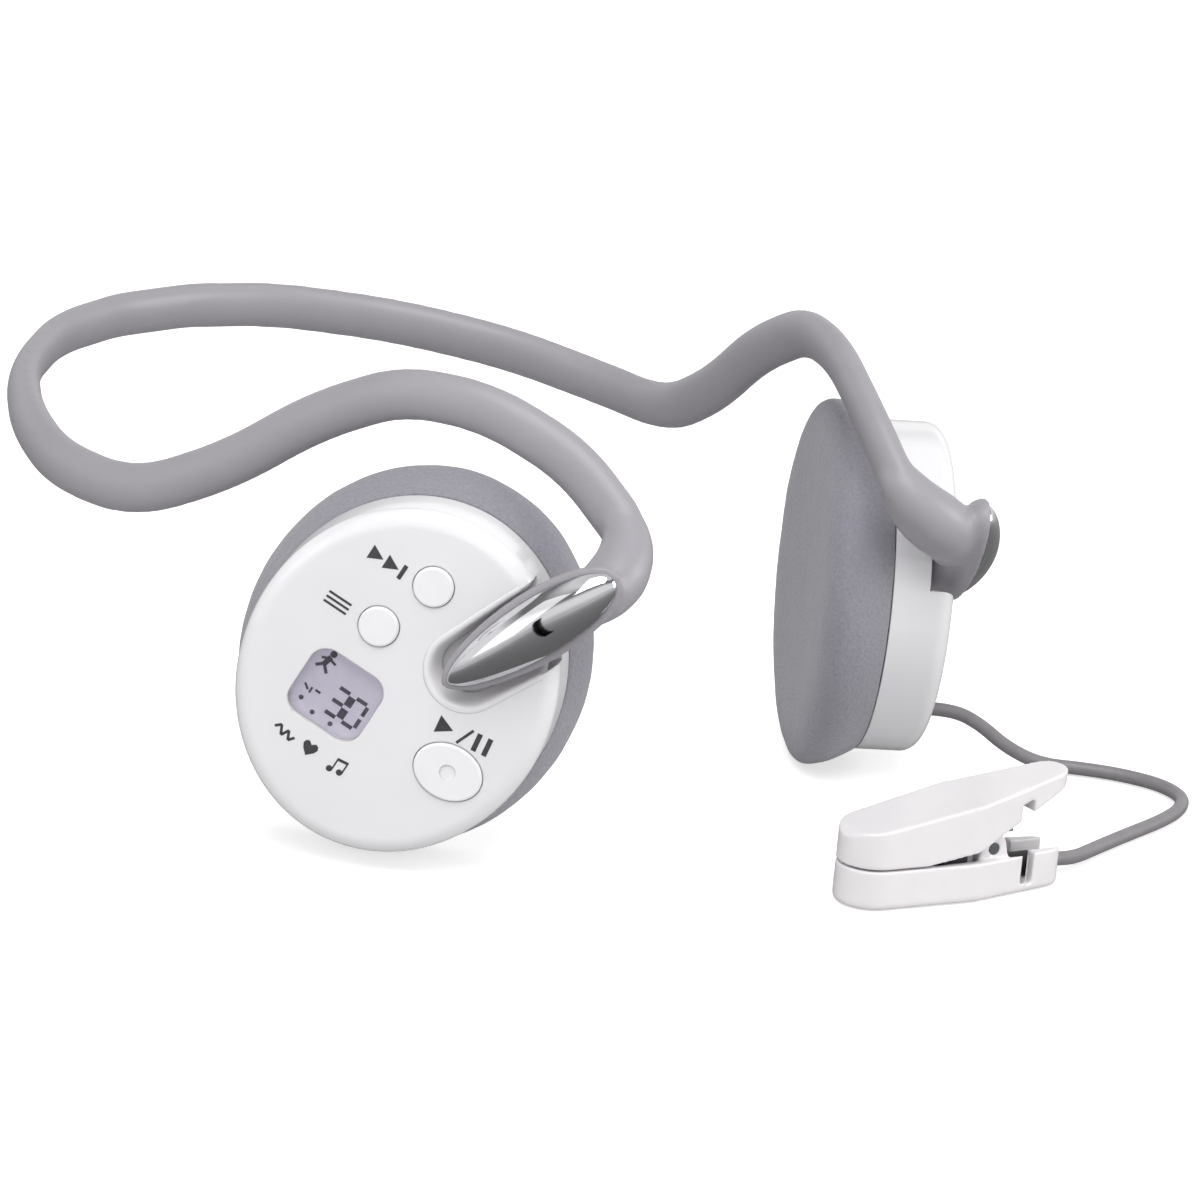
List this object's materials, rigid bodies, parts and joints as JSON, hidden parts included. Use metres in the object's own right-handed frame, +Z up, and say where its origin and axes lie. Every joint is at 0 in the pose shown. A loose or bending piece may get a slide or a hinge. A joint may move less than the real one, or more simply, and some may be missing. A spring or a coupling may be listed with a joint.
{
  "type": "neckband headphone audio player",
  "caption": "Behind-the-neck headphones with a built-in audio player, small display, buttons and a corded ear-clip pulse sensor",
  "frame": {"origin": "on the floor under the middle of the headset's box, without the sensor cord and its clip", "axes": "+Z up, +X towards the wearer's left, -Y towards the wearer's front"},
  "size_m": [0.1579, 0.1813, 0.0731],
  "materials": {
    "pad_foam": "soft foam",
    "baffle_abs": "fine texture",
    "perforated_steel": "satin black",
    "black_nylon": "satin",
    "zinc_plated_steel": "bright zinc",
    "nickel_plated_magnet": "nickel",
    "copper_winding": "enamelled copper",
    "clear_film": "clear film",
    "white_gloss_abs": "gloss",
    "grey_soft_moulding": "soft satin",
    "chromed_abs": "mirror plate",
    "spring_steel": "bright",
    "lead_sheath": "satin",
    "white_button_abs": "satin gloss",
    "clear_acrylic": "clear",
    "lcd_glass": "satin",
    "white_diffuser": "frosted",
    "circuit_board": "solder mask",
    "black_moulding": "matt",
    "tinned_steel": "tinned",
    "battery_foil": "foil",
    "grey_cord_sheath": "satin",
    "white_clip_abs": "gloss",
    "optic_epoxy": "tinted epoxy"
  },
  "bodies": {
    "right_arm": {"right_band_cover": "grey_soft_moulding", "right_pod": "grey_soft_moulding", "right_pod_cap": "chromed_abs", "right_pivot_washer": "zinc_plated_steel", "right_pivot_screw": "zinc_plated_steel", "band_spring": "spring_steel", "band_lead": "lead_sheath"},
    "left_arm": {"left_band_cover": "grey_soft_moulding", "left_pod": "grey_soft_moulding", "left_pod_cap": "chromed_abs", "left_pivot_washer": "zinc_plated_steel", "left_pivot_screw": "zinc_plated_steel"},
    "right_cup": {"right_outer_shell": "white_gloss_abs", "right_baffle": "baffle_abs", "right_ear_pad": "pad_foam", "right_driver_grille": "perforated_steel", "right_driver_frame": "black_nylon", "right_driver_yoke": "zinc_plated_steel", "right_driver_magnet": "nickel_plated_magnet", "right_voice_coil": "copper_winding", "right_diaphragm": "clear_film", "right_shell_screws": "zinc_plated_steel", "main_board": "circuit_board", "tact_switches": "black_moulding", "display_window": "clear_acrylic", "lcd_panel": "lcd_glass", "lcd_backlight": "white_diffuser", "audio_chip": "black_moulding", "memory_chip": "black_moulding", "usb_socket": "tinned_steel"},
    "left_cup": {"left_outer_shell": "white_gloss_abs", "left_baffle": "baffle_abs", "left_ear_pad": "pad_foam", "left_driver_grille": "perforated_steel", "left_driver_frame": "black_nylon", "left_driver_yoke": "zinc_plated_steel", "left_driver_magnet": "nickel_plated_magnet", "left_voice_coil": "copper_winding", "left_diaphragm": "clear_film", "left_shell_screws": "zinc_plated_steel", "battery": "battery_foil", "sensor_board": "circuit_board", "sensor_chip": "black_moulding", "cord_gland": "grey_cord_sheath", "sensor_cord": "grey_cord_sheath", "clip_lower_lever": "white_clip_abs", "clip_pin": "spring_steel", "clip_spring": "spring_steel", "clip_light_source": "optic_epoxy", "clip_light_shield": "black_moulding", "clip_cord_relief": "grey_cord_sheath"},
    "clip_lever": {"clip_upper_lever": "white_clip_abs", "clip_light_detector": "optic_epoxy"},
    "next_key": {"next_button": "white_button_abs"},
    "set_key": {"set_button": "white_button_abs"},
    "play_key": {"play_button": "white_button_abs"}
  },
  "joints": [
    {"name": "band_flex", "type": "hinge", "parent": "right_arm", "child": "left_arm", "pos_m": [0, 0.0746, 0.0512], "axis": [0, 0, 1], "range_deg": [-8, 30], "stiffness_Nm_per_rad": 0.35, "deforming": ["band_spring", "band_lead"]},
    {"name": "right_cup_swivel", "type": "hinge", "parent": "right_arm", "child": "right_cup", "pos_m": [-0.04622, -0.05759, 0.0358], "axis": [-0.8049, -0.5934, 0], "range_deg": [-5, 5]},
    {"name": "left_cup_swivel", "type": "hinge", "parent": "left_arm", "child": "left_cup", "pos_m": [0.04622, -0.05759, 0.0358], "axis": [0.8049, -0.5934, 0], "range_deg": [-5, 5]},
    {"name": "next_press", "type": "slide", "parent": "right_cup", "child": "next_key", "axis": [0.8049, 0.5934, 0], "range_m": [0, 0.0006], "stiffness_N_per_m": 900},
    {"name": "set_press", "type": "slide", "parent": "right_cup", "child": "set_key", "axis": [0.8049, 0.5934, 0], "range_m": [0, 0.0006], "stiffness_N_per_m": 900},
    {"name": "play_press", "type": "slide", "parent": "right_cup", "child": "play_key", "axis": [0.8049, 0.5934, 0], "range_m": [0, 0.0006], "stiffness_N_per_m": 900},
    {"name": "clip_squeeze", "type": "hinge", "parent": "left_cup", "child": "clip_lever", "pos_m": [0.02151, -0.09795, 0.0078], "axis": [0.1908, 0.9816, 0], "range_deg": [0, 25], "stiffness_Nm_per_rad": 0.06, "springref_deg": -20.05, "deforming": ["clip_spring"]}
  ]
}
